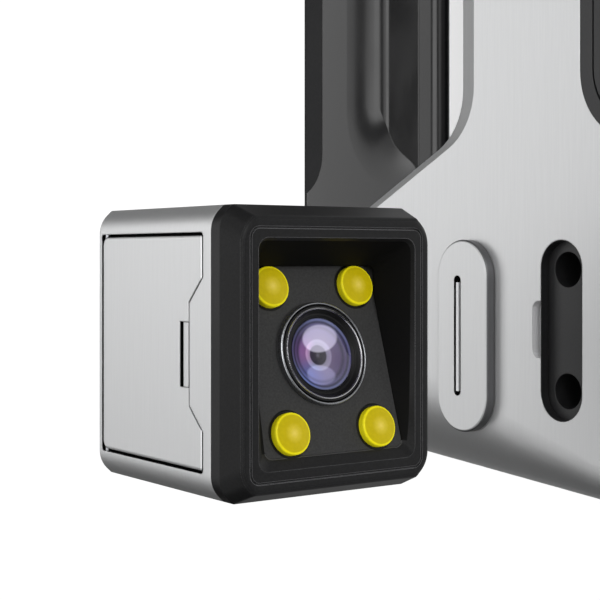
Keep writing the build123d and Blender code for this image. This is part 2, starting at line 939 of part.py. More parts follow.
def lamp_places():
    """The lamps' places on the plate."""
    half = lamp_pitch_x / 2
    return [(-half, lamp_high), (half, lamp_high), (-half, -lamp_low), (half, -lamp_low)]


def module_bezel():
    """The black front with its deep hood and the skirt that enters the housing."""
    shape = extrude(module_plane(bezel_rear_y) * module_section(0, 0), bezel_rear_y - bezel_taper_y)
    sections = [module_plane(bezel_taper_y) * module_section(0, 0)]
    for step in range(bezel_round_steps + 1):
        turn = math.radians(90 * step / bezel_round_steps)
        inset = bezel_edge_round * (1 - math.cos(turn))
        y = module_front_y + bezel_edge_round * (1 - math.sin(turn))
        share = (bezel_taper_y - y) / (bezel_taper_y - module_front_y)
        inset_x, inset_z = share * bezel_taper_x + inset, share * bezel_taper_z + inset
        sections.append(module_plane(y) * module_section(inset_x, inset_z))
    nose = loft(sections, ruled=True)
    shape += nose
    skirt = (shrink(inner_x, skirt_gap), shrink(inner_z, skirt_gap))
    bore = (shrink(inner_x, skirt_gap + bezel_skirt_wall), shrink(inner_z, skirt_gap + bezel_skirt_wall))
    length = (bezel_rear_y, bezel_rear_y + skirt_length)
    shape += module_block(skirt[0], length, skirt[1]) - module_block(bore[0], length, bore[1])
    mouth_middle = (mouth_low_z + mouth_high_z) / 2
    half_x, half_z = mouth_half_width, (mouth_high_z - mouth_low_z) / 2
    mouth = Pos(0, mouth_middle) * outline(
        (-half_x, -half_z, mouth_round),
        (half_x, -half_z, mouth_round),
        (half_x, half_z, mouth_round),
        (-half_x, half_z, mouth_round),
    )
    shape -= loft([module_plane(module_front_y) * mouth, lens_plane * plate_outline(0)], ruled=True)
    shape -= on_lens(plate_outline(plate_margin), -plate_thickness, 0)
    behind = on_lens(Rectangle(60, 80), -40, -plate_thickness)
    hollow = module_block(shrink(inner_x, 0.6), (module_front_y, 0), (3.2, module_height - 4.5))
    shape -= behind & hollow
    lip = 2 * (bezel_edge_round + lip_width)
    size_x, size_z = module_width - 2 * bezel_taper_x - lip, module_height - 2 * bezel_taper_z - lip
    inner = RectangleRounded(size_x - 2 * lip_groove, size_z - 2 * lip_groove, mouth_round - lip_groove)
    groove = Pos(0, module_height / 2) * (RectangleRounded(size_x, size_z, mouth_round) - inner)
    return shape - extrude(module_plane(module_front_y + lip_groove) * groove, 2 * lip_groove)


def door_outline(margin, corner):
    """The side door's outline, notch included, with that radius at its rear corners."""
    front, deep = door_front_y, door_front_y + door_notch_depth
    corners = [
        (front, door_low_z, 0.3),
        (front, door_notch_low[0], 0),
        (deep, door_notch_low[1], 0.4),
        (deep, door_notch_high[1], 0.4),
        (front, door_notch_high[0], 0),
        (front, door_high_z, 0.3),
        (door_rear_y, door_high_z, corner),
        (door_rear_y, door_low_z, corner),
    ]
    shape = outline(*[(y, z + module_base_z, radius) for y, z, radius in corners])
    return offset(shape, margin) if margin else shape


def hinge_pin():
    """The pin that the side door turns on."""
    length = door_high_z - door_low_z + 2
    foot = Pos(pin_x, pin_y, module_base_z + door_low_z - 1)
    return foot * Cylinder(hinge_pin_radius, length, align=low)


def service_block(margin):
    """The service socket's outline in the door's pocket."""
    half_y, half_z = service_width / 2 + margin, service_height / 2 + margin
    y, z = (door_front_y + door_rear_y) / 2, module_base_z + lens_z
    face_x = module_left_x + door_thickness + pocket_floor_gap
    return block((face_x, face_x + 4.5), (y - half_y, y + half_y), (z - half_z, z + half_z))


def service_socket():
    """The small socket under the side door."""
    return service_block(0) - Pos(-1.2, 0, 0) * service_block(-service_wall)


def module_housing():
    """The silver body of the module, open at the front and the back."""
    shape = extrude(module_plane(module_rear_y) * module_section(0, 0), module_rear_y - bezel_rear_y)
    shape -= module_block(inner_x, (bezel_rear_y - 1, module_rear_y - rear_plate - rear_ledge), inner_z)
    mouth = (shrink(inner_x, rear_ledge), shrink(inner_z, rear_ledge))
    shape -= module_block(mouth[0], (bezel_rear_y, module_rear_y + 1), mouth[1])
    shape -= Pos(module_x, 0, module_base_z) * back_block(0)
    depth_x = module_left_x + door_thickness + pocket_floor_gap
    shape -= side_prism(door_outline(door_gap, pocket_corner), module_left_x - 1, depth_x)
    shape -= service_block(0)
    shape -= hinge_pin()
    shape -= capsule_x(*plug_size(), dock_y, dock_z, module_right_x - 2 * module_wall, module_right_x + 1)
    behind = module_block((-module_width, module_width), (module_rear_y - rear_plate, 0), (0, module_height))
    for boss in back_screw_bars(back_screw_radius + back_boss_wall, back_boss_length):
        shape += boss - behind
    for head, stem in back_screw_bodies():
        shape -= stem
    return shape


def back_block(margin):
    """The rear plate's form, placed from the module's middle and base."""
    x, z = shrink(inner_x, margin - 4 * rear_gap), shrink(inner_z, margin - 4 * rear_gap)
    plate = block(x, (module_rear_y - rear_plate, module_rear_y), z)
    return fillet(plate.edges().filter_by(Axis.Y), 1.5)


def back_screw_bars(radius, length):
    """Bars along the rear screws."""
    low_x, high_x = shrink(inner_x, back_screw_inset)
    low_z, high_z = shrink(inner_z, back_screw_inset)
    places = [(x, z) for x in (low_x, high_x) for z in (low_z, high_z)]
    return [
        rod_y(radius, module_x + x, module_base_z + z, module_rear_y - length, module_rear_y)
        for x, z in places
    ]


def back_screw_bodies():
    """(head, stem) of each rear screw."""
    heads = back_screw_bars(back_screw_radius, back_screw_head)
    return list(zip(heads, back_screw_bars(back_screw_radius * 0.7, back_screw_length)))


def module_back():
    """The plate that closes the module's rear."""
    shape = Pos(module_x, 0, module_base_z) * back_block(rear_gap)
    for head, stem in back_screw_bodies():
        shape -= head + stem
    return shape


def back_screws():
    """The four screws of the rear plate."""
    return Compound(children=[head + stem for head, stem in back_screw_bodies()])


def lamp_plate():
    """The tilted black plate behind the hood, bored for lens and lamps."""
    shape = on_lens(plate_outline(plate_margin - 0.05), -plate_thickness, 0)
    shape -= on_lens(Circle(lens_ring_radius - lens_ring_width), -3, 1)
    for x, y in lamp_places():
        shape -= on_lens(Pos(x, y) * Circle(lamp_radius + 0.05), -3, 1)
    return shape


def lamp(x, y):
    """One yellow lamp: flange behind the plate, body and domed top in front."""
    rise = lamp_proud * 0.76
    dome_radius = (lamp_radius**2 + rise**2) / (2 * rise)
    shoulder = lamp_proud - rise
    shape = on_lens(Pos(x, y) * Circle(lamp_radius), -plate_thickness, shoulder)
    ball = lens_plane * Pos(x, y, shoulder + rise - dome_radius) * Sphere(dome_radius)
    shape += ball & on_lens(Pos(x, y) * Circle(lamp_radius), shoulder, lamp_proud + 1)
    flange = Circle(lamp_radius + lamp_flange)
    return shape + on_lens(Pos(x, y) * flange, -plate_thickness - 0.6, -plate_thickness)


def lamp_board():
    """The board that carries the four lamps."""
    face = -plate_thickness - 0.6
    shape = on_lens(plate_outline(-0.4), face - 1.2, face)
    return shape - on_lens(Circle(lens_ring_radius), -9, 0)


def lens_barrel():
    """The black barrel, stepped for the retainer, the front glass, the iris and the rear glass."""
    outer = lens_ring_radius - lens_ring_width - 0.02
    shape = on_lens(Circle(outer), -barrel_length, lens_proud - 0.15)
    shape -= on_lens(Circle(retainer_radius), -retainer_seat, lens_proud)
    shape -= on_lens(Circle(glass_radius), -glass_seat, 0)
    shape -= on_lens(Circle(iris_radius), -barrel_length, 0)
    return shape - on_lens(Circle(rear_glass_radius), -barrel_length, -glass_seat - board_thickness)


def lens_ring():
    """The bright ring round the lens, seated on the lamp plate."""
    ring = Circle(lens_ring_radius) - Circle(lens_ring_radius - lens_ring_width)
    return on_lens(ring, 0, lens_proud)


def lens_retainer():
    """The inner bright ring that holds the front glass."""
    top = lens_proud - retainer_seat
    shape = on_lens(Circle(retainer_radius), -retainer_seat, top)
    bore = lens_plane.offset(-retainer_seat) * Circle(glass_radius - retainer_width / 4)
    mouth = lens_plane.offset(top) * Circle(retainer_radius - retainer_width / 2)
    return shape - loft([bore, mouth])


def lens_glass():
    """The coated front glass."""
    rise, base = lens_proud, glass_radius - retainer_width / 2
    dome_radius = (base**2 + rise**2) / (2 * rise)
    shape = on_lens(Circle(glass_radius), -glass_seat, -retainer_seat)
    ball = lens_plane * Pos(0, 0, rise - retainer_seat - dome_radius) * Sphere(dome_radius)
    return shape + (ball & on_lens(Circle(base), -retainer_seat, 2 * lens_proud))


def rear_glass():
    """The rear element in the barrel."""
    front = -glass_seat - board_thickness
    return on_lens(Circle(rear_glass_radius), front - 2, front)


def sensor_board():
    """The sensor board behind the barrel, with its chip in the barrel's end."""
    board = Rectangle(16, 16)
    shape = on_lens(board, -barrel_length - board_thickness, -barrel_length)
    return shape + on_lens(Rectangle(4.4, 3.4), -barrel_length, -barrel_length + 0.9)


def catch_block(length, depth, gap):
    """A slab at the bottom of the door's notch, as long as the catch or its slot."""
    deep = door_front_y + door_notch_depth + gap
    middle = module_base_z + catch_z
    half = catch_height / 2 - gap
    x = (module_left_x, module_left_x + depth)
    return block(x, (deep, deep + length), (middle - half, middle + half))


def module_door():
    """The side door, with its notch, catch slot and pin bore."""
    shape = side_prism(door_outline(0, door_corner), module_left_x, module_left_x + door_thickness)
    rear = shape.edges().filter_by(Axis.Z).group_by(Axis.Y)[-1]
    shape = fillet(rear, door_thickness * 0.45)
    shape -= catch_block(catch_width + catch_travel + 3 * catch_gap, catch_thickness + catch_gap, 0)
    bore = Pos(pin_x, pin_y, module_base_z) * Cylinder(
        hinge_pin_radius + hinge_clearance, module_height, align=low
    )
    return shape - bore


def door_catch():
    """The thin catch at the door's notch."""
    return catch_block(catch_width, catch_thickness, catch_gap)


def plug_size():
    """Width and height of the dock plug."""
    return dock_width - 2 * plug_clearance, dock_height - 2 * plug_clearance


def dock_plug():
    """The plug and its two pegs on the module's right side."""
    tip_x = module_right_x + plug_length
    width, tall = plug_size()
    shape = capsule_x(width, tall, dock_y, dock_z, module_right_x - module_wall, tip_x)
    flange_x = module_right_x - module_wall - plug_flange
    flange = (width + 2 * plug_flange, tall + plug_flange)
    shape += capsule_x(*flange, dock_y, dock_z, flange_x, module_right_x - module_wall)
    for z in dock_hole_places():
        peg = rod_x(peg_radius, dock_y, z, tip_x, tip_x + peg_length)
        peg = chamfer(peg.edges().group_by(Axis.X)[-1], peg_chamfer)
        shape += peg
    return shape


trims = flank_trim()
skin = grip_skin()


if __name__ == "__main__":
    os.makedirs("parts", exist_ok=True)
    save("left_side_cover", left_cover())
    save("right_side_cover", right_cover())
    save("cover_screws", cover_screws())
    save("left_flank_trim", trims)
    save("right_flank_trim", mirrored(trims))
    save("front_bezel", front_bezel())
    save("core_housing", core_housing())
    save("tripod_bush", tripod_bush())
    save("front_window", window())
    save("lamp_ring", lamp_ring())
    for label, (z, radius) in zip(("projector", "lower_camera", "upper_camera"), optics()):
        save(f"{label}_barrel", optic_barrel(z, radius))
        save(f"{label}_lens", optic_glass(z, radius))
    save("optics_frame", optics_frame())
    save("projector_engine", projector_engine())
    save("lower_camera_board", camera_board(-1))
    save("upper_camera_board", camera_board(1))
    save("board_standoffs", standoffs())
    save("main_board", main_board())
    save("frame_screws", frame_screws())
    save("grip_front_shell", grip_front_shell())
    save("grip_rear_shell", grip_rear_shell())
    save("palm_pad", palm_pad())
    save("grip_strip", grip_strip())
    save("key_frame", key_frame())
    for label, z in key_places():
        save(label, key(z))
    save("key_board", key_board())
    save("grip_spine", grip_spine())
    save("power_inlet", power_inlet())
    save("data_inlet", data_inlet())
    save("dock_socket", dock_socket())
    save("port_cover", port_cover())
    save("port_socket", port_socket())
    save("module_housing", module_housing())
    save("module_bezel", module_bezel())
    save("module_back", module_back())
    save("back_screws", back_screws())
    save("lamp_plate", lamp_plate())
    for number, place in enumerate(lamp_places(), 1):
        save(f"lamp_{number}", lamp(*place))
    save("lamp_board", lamp_board())
    save("lens_barrel", lens_barrel())
    save("lens_ring", lens_ring())
    save("lens_retainer", lens_retainer())
    save("lens_glass", lens_glass())
    save("rear_glass", rear_glass())
    save("sensor_board", sensor_board())
    save("module_door", module_door())
    save("door_catch", door_catch())
    save("hinge_pin", hinge_pin())
    save("service_socket", service_socket())
    save("dock_plug", dock_plug())
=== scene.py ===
# %% [markdown]
# # A handheld scanner and the camera module that docks on its side
# The CAD model already holds every part at its real size. Here we give those parts their finishes,
# swap a few for smoother meshes, and set up a small studio around them. Units are metres.
# We start by loading the CAD model, because every later place is read from it.

# %% Load the CAD model
import bpy
import bmesh
import json
import math
from mathutils import Matrix, Vector


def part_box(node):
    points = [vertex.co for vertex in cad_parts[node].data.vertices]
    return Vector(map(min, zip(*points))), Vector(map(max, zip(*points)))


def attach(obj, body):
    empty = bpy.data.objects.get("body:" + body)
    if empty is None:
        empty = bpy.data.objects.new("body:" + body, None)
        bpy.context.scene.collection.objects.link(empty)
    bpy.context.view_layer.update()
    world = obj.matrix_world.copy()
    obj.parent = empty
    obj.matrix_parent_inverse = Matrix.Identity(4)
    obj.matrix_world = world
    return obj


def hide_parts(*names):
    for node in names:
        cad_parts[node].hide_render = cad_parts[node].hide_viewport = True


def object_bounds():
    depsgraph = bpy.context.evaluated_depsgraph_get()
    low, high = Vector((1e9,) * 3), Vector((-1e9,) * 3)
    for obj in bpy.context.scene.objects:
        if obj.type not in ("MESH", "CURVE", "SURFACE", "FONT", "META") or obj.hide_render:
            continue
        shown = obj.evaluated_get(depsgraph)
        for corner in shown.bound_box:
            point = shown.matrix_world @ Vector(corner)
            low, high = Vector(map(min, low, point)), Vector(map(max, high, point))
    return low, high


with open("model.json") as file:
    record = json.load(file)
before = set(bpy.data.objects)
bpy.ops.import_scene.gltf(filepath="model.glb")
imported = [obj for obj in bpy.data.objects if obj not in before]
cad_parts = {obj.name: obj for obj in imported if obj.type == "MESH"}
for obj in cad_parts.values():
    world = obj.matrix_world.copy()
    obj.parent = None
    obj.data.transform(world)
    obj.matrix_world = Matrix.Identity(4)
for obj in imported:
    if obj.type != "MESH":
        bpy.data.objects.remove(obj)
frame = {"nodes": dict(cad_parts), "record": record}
cad_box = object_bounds()
nodes = frame["nodes"]
scene = bpy.context.scene
mm = 0.001

# %% [markdown]
# ## The camera
# A product shot is taken level, from a little way off, with a long lens, so that upright edges stay
# upright. We place the camera from the front face of the module: some way out along the view, a
# touch to the left, and a touch above its middle. A small downward shift frames the picture without
# tilting the camera.

# %% Place the camera
face_low, face_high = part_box("module_bezel")
face_middle = Vector(((face_low.x + face_high.x) / 2, face_low.y, (face_low.z + face_high.z) / 2))
view_turn = math.radians(-35.6)
view_forward = Vector((-math.sin(view_turn), math.cos(view_turn), 0))
view_right = Vector((math.cos(view_turn), math.sin(view_turn), 0))
camera_distance = 167.1 * mm
camera_aside = -4.8 * mm
camera_rise = 11.4 * mm

camera_data = bpy.data.cameras.new("studio_camera")
camera_data.lens = 83.9
camera_data.sensor_width = 36
camera_data.shift_y = -0.0728
camera_data.clip_start = 0.01
camera = bpy.data.objects.new("studio_camera", camera_data)
camera.location = face_middle - view_forward * camera_distance + view_right * camera_aside
camera.location.z += camera_rise
camera.rotation_euler = (math.radians(90), 0, view_turn)
scene.collection.objects.link(camera)
scene.camera = camera
scene.view_settings.view_transform = "Standard"
print("camera at", [round(value / mm, 1) for value in camera.location], "mm")

# %% [markdown]
# ## The studio
# Satin silver shows whatever stands round it, so the room matters more than the lamps. We want a
# bright band at eye level, a dimmer ceiling and a dark floor, which gives the covers their even
# light grey and the dark sweep along their lower edges. A dark curtain behind keeps the black
# plastic black. A white page is what the camera itself sees. One world shader can do all of this:
# one ramp looks at how high a ray points, and another at how far round the room.

# %% Make the room's shader
room = bpy.data.worlds.new("room")
scene.world = room
room.use_nodes = True
tree = room.node_tree
tree.nodes.clear()
direction = tree.nodes.new("ShaderNodeTexCoord")
split = tree.nodes.new("ShaderNodeSeparateXYZ")
height_ramp = tree.nodes.new("ShaderNodeValToRGB")
shift = tree.nodes.new("ShaderNodeMath")
turn = tree.nodes.new("ShaderNodeMath")
turn_ramp = tree.nodes.new("ShaderNodeValToRGB")
both = tree.nodes.new("ShaderNodeMixRGB")
light_room = tree.nodes.new("ShaderNodeBackground")
white_page = tree.nodes.new("ShaderNodeBackground")
path = tree.nodes.new("ShaderNodeLightPath")
mix = tree.nodes.new("ShaderNodeMixShader")
output = tree.nodes.new("ShaderNodeOutputWorld")
shift.operation = "MULTIPLY_ADD"
shift.inputs[1].default_value = 0.5
shift.inputs[2].default_value = 0.5
turn.operation = "MULTIPLY_ADD"
turn.inputs[1].default_value = 0.5
turn.inputs[2].default_value = 0.5
both.blend_type = "MULTIPLY"
both.inputs[0].default_value = 1.0
print("room nodes:", len(tree.nodes))

# %% [markdown]
# The levels come next. The first list runs from the floor up to the ceiling, the second across the
# room from -X to +X. The brightest level is 3, and a ramp's grey stops at 1, so we divide.

# %% Set how bright each part of the room is
room_strength = 3.0
page_strength = 1.1
height_levels = [(0.28, 0.3), (0.45, 0.7), (0.50, 1.0), (0.66, 1.0), (0.78, 0.47), (1.0, 0.5)]
turn_levels = [
    (0.0, 3.0), (0.03, 3.0), (0.045, 0.3), (0.095, 0.3), (0.12, 1.3), (0.2, 1.25), (0.27, 2.7),
    (0.30, 0.05), (0.5, 0.05), (0.7, 0.4), (0.8, 0.9), (1.0, 0.9),
]


def set_ramp(ramp, levels):
    """Grey stops for a ramp, as (place, level) pairs."""
    while len(ramp.elements) < len(levels):
        ramp.elements.new(0.5)
    for element, (place, level) in zip(ramp.elements, levels):
        element.position = place
        element.color = (level, level, level, 1)


set_ramp(height_ramp.color_ramp, height_levels)
set_ramp(turn_ramp.color_ramp, [(place, level / room_strength) for place, level in turn_levels])
light_room.inputs["Strength"].default_value = room_strength
white_page.inputs["Color"].default_value = (1, 1, 1, 1)
white_page.inputs["Strength"].default_value = page_strength
print("room stops:", len(height_levels), "up and", len(turn_levels), "round")

# %% [markdown]
# Last we join the nodes. Only a ray straight from the camera sees the white page.

# %% Join the room's nodes
tree.links.new(direction.outputs["Generated"], split.inputs[0])
tree.links.new(split.outputs["Z"], shift.inputs[0])
tree.links.new(shift.outputs[0], height_ramp.inputs[0])
tree.links.new(split.outputs["X"], turn.inputs[0])
tree.links.new(turn.outputs[0], turn_ramp.inputs[0])
tree.links.new(height_ramp.outputs["Color"], both.inputs[1])
tree.links.new(turn_ramp.outputs["Color"], both.inputs[2])
tree.links.new(both.outputs[0], light_room.inputs["Color"])
tree.links.new(path.outputs["Is Camera Ray"], mix.inputs[0])
tree.links.new(light_room.outputs[0], mix.inputs[1])
tree.links.new(white_page.outputs[0], mix.inputs[2])
tree.links.new(mix.outputs[0], output.inputs[0])
print("room links:", len(tree.links))

# %% [markdown]
# ## Lamps
# Two small panels add what the room alone cannot. One in front on the left puts a glint on the glass.
# One in front on the right is smaller and harder: it lights the lamp plate and lets the hood throw a
# crisp shadow across it.

# %% Hang the lamps
object_middle = (Vector(cad_box[0]) + Vector(cad_box[1])) / 2


def soft_panel(name, place, target, size, power):
    """A square area lamp at place, turned to target."""
    data = bpy.data.lights.new(name, "AREA")
    data.shape = "RECTANGLE"
    data.size, data.size_y = size
    data.energy = power
    lamp = bpy.data.objects.new(name, data)
    lamp.location = place
    lamp.visible_camera = False
    lamp.rotation_euler = (target - lamp.location).to_track_quat("-Z", "Y").to_euler()
    scene.collection.objects.link(lamp)
    return lamp


soft_panel("front_panel", Vector((-0.35, -0.75, 0.45)), object_middle, (0.35, 0.35), 1.6)
key_turn = math.radians(25)
key_place = face_middle + Vector((math.sin(key_turn), -math.cos(key_turn), 0.05)) * 0.8
soft_panel("key_panel", key_place, face_middle, (0.05, 0.05), 3.0).visible_glossy = False

# %% [markdown]
# ## The floor
# The scanner stands on a plain white sheet that gives off its own even light, as a light table does.
# The object neither reflects it nor is lit by it, so the room alone shapes the covers.

# %% Lay the floor
floor_size = 3.0
floor_mesh = bpy.data.meshes.new("floor")
half = floor_size / 2
floor_corners = [(-half, -half, 0), (half, -half, 0), (half, half, 0), (-half, half, 0)]
floor_mesh.from_pydata(floor_corners, [], [(0, 1, 2, 3)])
floor = bpy.data.objects.new("floor", floor_mesh)
floor.location.z = cad_box[0][2] - 0.2 * mm
scene.collection.objects.link(floor)
floor.visible_glossy = False
floor.visible_diffuse = False
paper = bpy.data.materials.new("paper")
paper.use_nodes = True
paper_shader = paper.node_tree.nodes["Principled BSDF"]
paper_shader.inputs["Base Color"].default_value = (0.02, 0.02, 0.02, 1)
paper_shader.inputs["Roughness"].default_value = 0.9
paper_shader.inputs["Emission Color"].default_value = (1, 1, 1, 1)
paper_shader.inputs["Emission Strength"].default_value = 1.0
floor.data.materials.append(paper)
print("floor at", floor.location.z)

# %% [markdown]
# ## Finishes
# Every finish starts from the same shader, so one small function makes it. Real surfaces are never
# even, so each finish then gets a grain of its own: a noise stretched to the right shape drives
# roughness, colour and a shallow bump together. Two more functions change a finish inside a box only,
# where painted shade or a painted highlight goes on a part.

# %% Helpers for materials


def finish(name, colour, roughness, **sockets):
    """A new material, its tree and its shader, with even values set on the shader's sockets."""
    material = bpy.data.materials.new(name)
    material.use_nodes = True
    shader = material.node_tree.nodes["Principled BSDF"]
    shader.inputs["Base Color"].default_value = (*colour, 1)
    shader.inputs["Roughness"].default_value = roughness
    for socket, value in sockets.items():
        shader.inputs[socket.replace("_", " ")].default_value = value
    return material, material.node_tree, shader


def noise(tree, stretch, detail=3.0):
    """A noise with that many lumps to the metre along X, Y and Z."""
    place = tree.nodes.new("ShaderNodeTexCoord")
    scale = tree.nodes.new("ShaderNodeMapping")
    lumps = tree.nodes.new("ShaderNodeTexNoise")
    scale.inputs["Scale"].default_value = stretch
    lumps.inputs["Scale"].default_value = 1.0
    lumps.inputs["Detail"].default_value = detail
    tree.links.new(place.outputs["Object"], scale.inputs["Vector"])
    tree.links.new(scale.outputs["Vector"], lumps.inputs["Vector"])
    return lumps.outputs["Fac"]


def between(tree, factor, low, high):
    """The factor carried from its usual middle range to low and high."""
    carry = tree.nodes.new("ShaderNodeMapRange")
    carry.inputs["From Min"].default_value = 0.3
    carry.inputs["From Max"].default_value = 0.7
    carry.inputs["To Min"].default_value = low
    carry.inputs["To Max"].default_value = high
    tree.links.new(factor, carry.inputs["Value"])
    return carry.outputs["Result"]


def shade(tree, factor, dark, light):
    """A colour that runs from dark to light with the factor."""
    ramp = tree.nodes.new("ShaderNodeValToRGB")
    ramp.color_ramp.elements[0].position = 0.3
    ramp.color_ramp.elements[1].position = 0.7
    ramp.color_ramp.elements[0].color = (*dark, 1)
    ramp.color_ramp.elements[1].color = (*light, 1)
    tree.links.new(factor, ramp.inputs["Fac"])
    return ramp.outputs["Color"]


print("noise helpers ready")

# %% [markdown]
# Next come the helpers for shape: a shallow bump and a way to soften an edge, and one more that paints a
# highlight along an edge.

# %% Helpers for bumps and edges


def relief(tree, shader, factor, depth, strength):
    """A shallow bump of that depth."""
    bump = tree.nodes.new("ShaderNodeBump")
    bump.inputs["Distance"].default_value = depth
    bump.inputs["Strength"].default_value = strength
    tree.links.new(factor, bump.inputs["Height"])
    tree.links.new(bump.outputs["Normal"], shader.inputs["Normal"])
    return bump


def soft_edges(tree, shader, bump, radius):
    """Worn edges: light rolls over them as if they had that radius."""
    edge = tree.nodes.new("ShaderNodeBevel")
    edge.samples = 6
    edge.inputs["Radius"].default_value = radius
    tree.links.new(edge.outputs["Normal"], bump.inputs["Normal"] if bump else shader.inputs["Normal"])


def painted_edge_highlights(tree, shader, radius, colour):
    """A painted highlight: a thin lighter line along every sharp edge, where a rim would catch light."""
    edge = tree.nodes.new("ShaderNodeBevel")
    surface = tree.nodes.new("ShaderNodeNewGeometry")
    match = tree.nodes.new("ShaderNodeVectorMath")
    fade = tree.nodes.new("ShaderNodeMapRange")
    edge.samples = 6
    edge.inputs["Radius"].default_value = radius
    match.operation = "DOT_PRODUCT"
    fade.inputs["From Min"].default_value = 0.99
    fade.inputs["From Max"].default_value = 0.93
    tree.links.new(edge.outputs["Normal"], match.inputs[0])
    tree.links.new(surface.outputs["Normal"], match.inputs[1])
    tree.links.new(match.outputs["Value"], fade.inputs["Value"])
    painted(tree, shader, fade.outputs["Result"], Base_Color=colour)


print("edge helpers ready")

# %% [markdown]
# The last two work on a region. One is a mask that is 1 in a box, and the other paints under a mask.

# %% Helpers for painted regions


def inside(tree, low, high):
    """1 inside the box from low to high, and 0 outside it."""
    middle = (Vector(low) + Vector(high)) / 2
    half_size = (Vector(high) - Vector(low)) / 2
    place = tree.nodes.new("ShaderNodeTexCoord").outputs["Object"]
    for operation, value in (("SUBTRACT", middle), ("ABSOLUTE", None), ("SUBTRACT", half_size)):
        step = tree.nodes.new("ShaderNodeVectorMath")
        step.operation = operation
        tree.links.new(place, step.inputs[0])
        if value is not None:
            step.inputs[1].default_value = value
        place = step.outputs["Vector"]
    split = tree.nodes.new("ShaderNodeSeparateXYZ")
    tree.links.new(place, split.inputs[0])
    widest = split.outputs["X"]
    for operation, other in (("MAXIMUM", "Y"), ("MAXIMUM", "Z"), ("LESS_THAN", None)):
        step = tree.nodes.new("ShaderNodeMath")
        step.operation = operation
        tree.links.new(widest, step.inputs[0])
        if other:
            tree.links.new(split.outputs[other], step.inputs[1])
        else:
            step.inputs[1].default_value = 0.0
        widest = step.outputs[0]
    return widest


def painted(tree, shader, mask, **sockets):
    """Where mask is 1, these shader sockets take these values instead."""
    for name, value in sockets.items():
        socket = shader.inputs[name.replace("_", " ")]
        mix = tree.nodes.new("ShaderNodeMix")
        colour = isinstance(value, tuple)
        mix.data_type = "RGBA" if colour else "FLOAT"
        first, second = [item for item in mix.inputs if item.enabled and item.name in ("A", "B")]
        out = next(item for item in mix.outputs if item.enabled)
        if socket.links:
            tree.links.new(socket.links[0].from_socket, first)
        else:
            first.default_value = socket.default_value
        second.default_value = (*value, 1) if colour else value
        tree.links.new(mask, next(item for item in mix.inputs if item.enabled and item.name == "Factor"))
        tree.links.new(out, socket)


finishes = {}
print("region helpers ready")

# %% [markdown]
# ## Satin silver
# The covers are a metal-look lacquer over fine upright brushing. The brushing is a noise squeezed
# hard across and hardly at all upwards. It changes the roughness most and the colour least, which is
# how brushing reads on a real cover.

# %% Silver covers
silver, tree, shader = finish("silver_cover", (0.66, 0.665, 0.67), 0.36, Metallic=0.7)
brushing = noise(tree, (3200, 3200, 120), 4.0)
tree.links.new(between(tree, brushing, 0.34, 0.39), shader.inputs["Roughness"])
tree.links.new(shade(tree, brushing, (0.65, 0.655, 0.66), (0.68, 0.685, 0.69)), shader.inputs["Base Color"])
bump = relief(tree, shader, brushing, 0.006 * mm, 0.08)
soft_edges(tree, shader, bump, 0.25 * mm)
print("brushed silver ready")

# %% [markdown]
# Four places on the silver are painted with light or shade. Painted shade makes the seam round the module's
# door and the port cover's slot black and the cover's rim dark, and a painted highlight makes the dock's
# notch pale. Each is a box set by the CAD parts.

# %% Paint shade on the seam, rim and slot, and a highlight on the notch
slot_shift = 1.0 * mm
slot_half_width = 0.9 * mm
slot_half_height = 10.2 * mm
rim_depth = 1.79 * mm
notch_front = 4.0 * mm
notch_back = 6.4 * mm
notch_half_height = 5.0 * mm
# Painted shade: a near-black, matt finish that stands for the shade in gaps and slots.
painted_shade = {
    "Base_Color": (0.004, 0.004, 0.004), "Metallic": 0.0, "Roughness": 0.8, "Specular_IOR_Level": 0.05,
}
seam = 0.35 * mm
door_low, door_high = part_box("module_door")
seam_shade_low = (door_low.x + 0.12 * mm, door_low.y - seam, door_low.z - seam)
seam_shade_high = (door_high.x + 2 * mm, door_high.y + seam, door_high.z + seam)
# Painted shade in the gap round the module's door.
painted(tree, shader, inside(tree, seam_shade_low, seam_shade_high), **painted_shade)
port_low, port_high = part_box("port_cover")
port_middle = (port_low + port_high) / 2
shaded_rim_low = (port_low.x + 0.15 * mm, port_low.y - 0.01 * mm, port_low.z - 0.01 * mm)
shaded_rim_high = (port_low.x + rim_depth, port_high.y + 0.01 * mm, port_high.z + 0.01 * mm)
# Painted shade on the port cover's side wall, which is darker than its face.
painted(tree, shader, inside(tree, shaded_rim_low, shaded_rim_high), Base_Color=(0.16, 0.16, 0.165))
slot_y = port_middle.y + slot_shift
slot_shade_low = (port_low.x + 0.04 * mm, slot_y - slot_half_width, port_middle.z - slot_half_height)
slot_shade_high = (port_low.x + 1.3 * mm, slot_y + slot_half_width, port_middle.z + slot_half_height)
# Painted shade inside the port cover's slot.
painted(tree, shader, inside(tree, slot_shade_low, slot_shade_high), **painted_shade)
cover_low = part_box("left_side_cover")[0]
plug_low, plug_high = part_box("dock_plug")
dock_middle = (plug_low + plug_high) / 2
notch_highlight_low = (
    cover_low.x + 0.1 * mm, dock_middle.y + notch_front, dock_middle.z - notch_half_height,
)
notch_highlight_high = (
    cover_low.x + 1.7 * mm, dock_middle.y + notch_back, dock_middle.z + notch_half_height,
)
# Painted highlight: the dock's notch is made pale and matt so that it reads bright.
painted(tree, shader, inside(tree, notch_highlight_low, notch_highlight_high), Base_Color=(0.8, 0.8, 0.81), Metallic=0.0)
finishes["silver_cover"] = silver
print("silver ready")

# %% [markdown]
# ## Black plastics
# The black parts are moulded in different textures: satin on the grip and the flanks, finer on the
# module, matt on the lamp plate. They differ in shade, gloss and grain size only, so one function
# serves all of them.

# %% Moulded plastics


